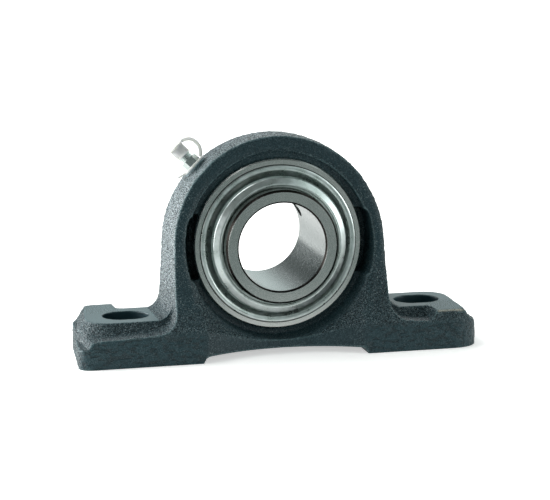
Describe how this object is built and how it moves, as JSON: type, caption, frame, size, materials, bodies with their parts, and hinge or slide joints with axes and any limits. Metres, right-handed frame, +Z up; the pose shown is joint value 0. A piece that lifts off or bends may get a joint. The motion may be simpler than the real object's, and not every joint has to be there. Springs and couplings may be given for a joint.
{
  "type": "pillow block bearing",
  "caption": "Self-aligning ball bearing insert in a cast pillow block housing with slotted feet, set screws and a capped grease nipple, for a 40 mm shaft.",
  "frame": {"origin": "on the mounting face, midway between the two bolt slots and under the shaft's centre line", "axes": "+X along the base from the nipple's foot to the other, +Y along the shaft towards the set-screw end of the inner ring, +Z up from the mounting face"},
  "size_m": [0.1854, 0.0572, 0.0986],
  "materials": {
    "painted_casting": "dark blue-grey paint over a sand-cast skin",
    "bearing_steel": "ground and honed bearing steel",
    "ball_steel": "mirror-lapped bearing steel",
    "cage_steel": "cold-rolled sheet, pressed",
    "zinc_plate": "bright zinc plate on pressed or turned steel",
    "seal_rubber": "moulded nitrile",
    "black_steel": "black oxide on alloy steel",
    "spring_steel": "drawn wire",
    "nylon": "natural nylon, slightly see-through"
  },
  "bodies": {
    "housing": {"housing": "painted_casting", "grease_nipple": "zinc_plate", "nipple_spring": "spring_steel", "tether_ring": "nylon", "cap_strap": "nylon"},
    "outer_ring": {"outer_ring": "bearing_steel", "seal_case_front": "zinc_plate", "seal_case_rear": "zinc_plate", "seal_lip_front": "seal_rubber", "seal_lip_rear": "seal_rubber"},
    "inner_ring": {"inner_ring": "bearing_steel", "flinger_front": "zinc_plate", "flinger_rear": "zinc_plate"},
    "cage": {"cage_front": "cage_steel", "cage_rear": "cage_steel", "cage_rivets": "cage_steel"},
    "ball_01": {"ball_01": "ball_steel"},
    "ball_02": {"ball_02": "ball_steel"},
    "ball_03": {"ball_03": "ball_steel"},
    "ball_04": {"ball_04": "ball_steel"},
    "ball_05": {"ball_05": "ball_steel"},
    "ball_06": {"ball_06": "ball_steel"},
    "ball_07": {"ball_07": "ball_steel"},
    "ball_08": {"ball_08": "ball_steel"},
    "ball_09": {"ball_09": "ball_steel"},
    "set_screw_a": {"set_screw_a": "black_steel"},
    "set_screw_b": {"set_screw_b": "black_steel"},
    "nipple_ball": {"nipple_ball": "ball_steel"},
    "dust_cap": {"dust_cap": "nylon"}
  },
  "joints": [
    {"name": "insert_swivel", "type": "hinge", "parent": "housing", "child": "outer_ring", "pos_m": [0, 0, 0.0492], "axis": [1, 0, 0], "range_deg": [-3, 3]},
    {"name": "shaft_spin", "type": "hinge", "parent": "outer_ring", "child": "inner_ring", "pos_m": [0, 0, 0.0492], "axis": [0, 1, 0], "continuous": true},
    {"name": "cage_spin", "type": "hinge", "parent": "outer_ring", "child": "cage", "pos_m": [0, 0, 0.0492], "axis": [0, 1, 0], "continuous": true},
    {"name": "ball_01_spin", "type": "hinge", "parent": "cage", "child": "ball_01", "pos_m": [0, 0, 0.0792], "axis": [0, 1, 0], "continuous": true},
    {"name": "ball_02_spin", "type": "hinge", "parent": "cage", "child": "ball_02", "pos_m": [0.01928, 0, 0.07218], "axis": [0, 1, 0], "continuous": true},
    {"name": "ball_03_spin", "type": "hinge", "parent": "cage", "child": "ball_03", "pos_m": [0.02954, 0, 0.05441], "axis": [0, 1, 0], "continuous": true},
    {"name": "ball_04_spin", "type": "hinge", "parent": "cage", "child": "ball_04", "pos_m": [0.02598, 0, 0.0342], "axis": [0, 1, 0], "continuous": true},
    {"name": "ball_05_spin", "type": "hinge", "parent": "cage", "child": "ball_05", "pos_m": [0.01026, 0, 0.02101], "axis": [0, 1, 0], "continuous": true},
    {"name": "ball_06_spin", "type": "hinge", "parent": "cage", "child": "ball_06", "pos_m": [-0.01026, 0, 0.02101], "axis": [0, 1, 0], "continuous": true},
    {"name": "ball_07_spin", "type": "hinge", "parent": "cage", "child": "ball_07", "pos_m": [-0.02598, 0, 0.0342], "axis": [0, 1, 0], "continuous": true},
    {"name": "ball_08_spin", "type": "hinge", "parent": "cage", "child": "ball_08", "pos_m": [-0.02954, 0, 0.05441], "axis": [0, 1, 0], "continuous": true},
    {"name": "ball_09_spin", "type": "hinge", "parent": "cage", "child": "ball_09", "pos_m": [-0.01928, 0, 0.07218], "axis": [0, 1, 0], "continuous": true},
    {"name": "set_screw_a_slide", "type": "slide", "parent": "inner_ring", "child": "set_screw_a", "axis": [0.866, 0, 0.5], "range_m": [-0.0012, 0.003]},
    {"name": "set_screw_b_slide", "type": "slide", "parent": "inner_ring", "child": "set_screw_b", "axis": [-0.866, 0, 0.5], "range_m": [-0.0012, 0.003]},
    {"name": "nipple_ball_slide", "type": "slide", "parent": "housing", "child": "nipple_ball", "axis": [0.6846, -0.2504, -0.6846], "range_m": [0, 0.0008], "stiffness_N_per_m": 300, "springref_m": -0.001, "deforming": ["nipple_spring"]},
    {"name": "dust_cap_slide", "type": "slide", "parent": "housing", "child": "dust_cap", "axis": [-0.6846, 0.2504, 0.6846], "range_m": [0, 0.0065], "deforming": ["cap_strap"]}
  ],
  "couplings": [
    {"joint": "cage_spin", "follows": "shaft_spin", "ratio": 0.40083},
    {"joint": "ball_01_spin", "follows": "shaft_spin", "ratio": -2.4218},
    {"joint": "ball_02_spin", "follows": "shaft_spin", "ratio": -2.4218},
    {"joint": "ball_03_spin", "follows": "shaft_spin", "ratio": -2.4218},
    {"joint": "ball_04_spin", "follows": "shaft_spin", "ratio": -2.4218},
    {"joint": "ball_05_spin", "follows": "shaft_spin", "ratio": -2.4218},
    {"joint": "ball_06_spin", "follows": "shaft_spin", "ratio": -2.4218},
    {"joint": "ball_07_spin", "follows": "shaft_spin", "ratio": -2.4218},
    {"joint": "ball_08_spin", "follows": "shaft_spin", "ratio": -2.4218},
    {"joint": "ball_09_spin", "follows": "shaft_spin", "ratio": -2.4218}
  ]
}
